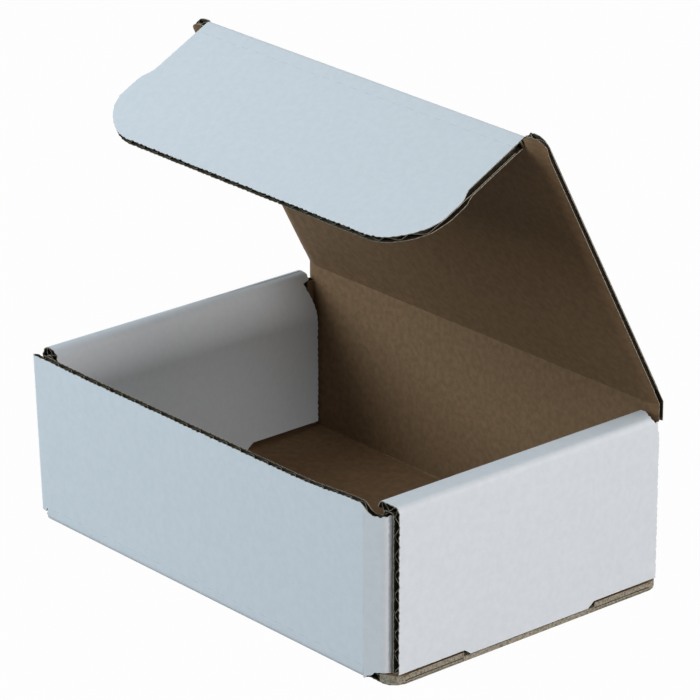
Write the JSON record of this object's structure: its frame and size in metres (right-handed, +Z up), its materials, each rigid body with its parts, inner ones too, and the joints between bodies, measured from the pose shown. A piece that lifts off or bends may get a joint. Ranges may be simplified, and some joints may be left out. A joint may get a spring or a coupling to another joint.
{
  "type": "corrugated mailer box",
  "caption": "Roll-end tuck-front mailer box of corrugated board, white outside and kraft inside, with a hinged lid and a tuck flap.",
  "frame": {"origin": "middle of the tray's underside", "axes": "+Z up, +X along the box to the right, front wall at -Y"},
  "size_m": [0.17, 0.1144, 0.1567],
  "materials": {
    "board": "white-lined outside, kraft inside, matt"
  },
  "bodies": {
    "tray": {"tray": "board"},
    "lid": {"lid": "board"},
    "tuck_flap": {"tuck_flap": "board"}
  },
  "joints": [
    {"name": "lid_hinge", "type": "hinge", "parent": "tray", "child": "lid", "pos_m": [0, 0.0572, 0.06], "axis": [1, 0, 0], "range_deg": [-148, 62]},
    {"name": "tuck_fold", "type": "hinge", "parent": "lid", "child": "tuck_flap", "pos_m": [0, 0.00697, 0.15448], "axis": [1, 0, 0], "range_deg": [-54, 23]}
  ],
  "couplings": [
    {"joint": "tuck_fold", "follows": "lid_hinge", "ratio": 0.36}
  ]
}
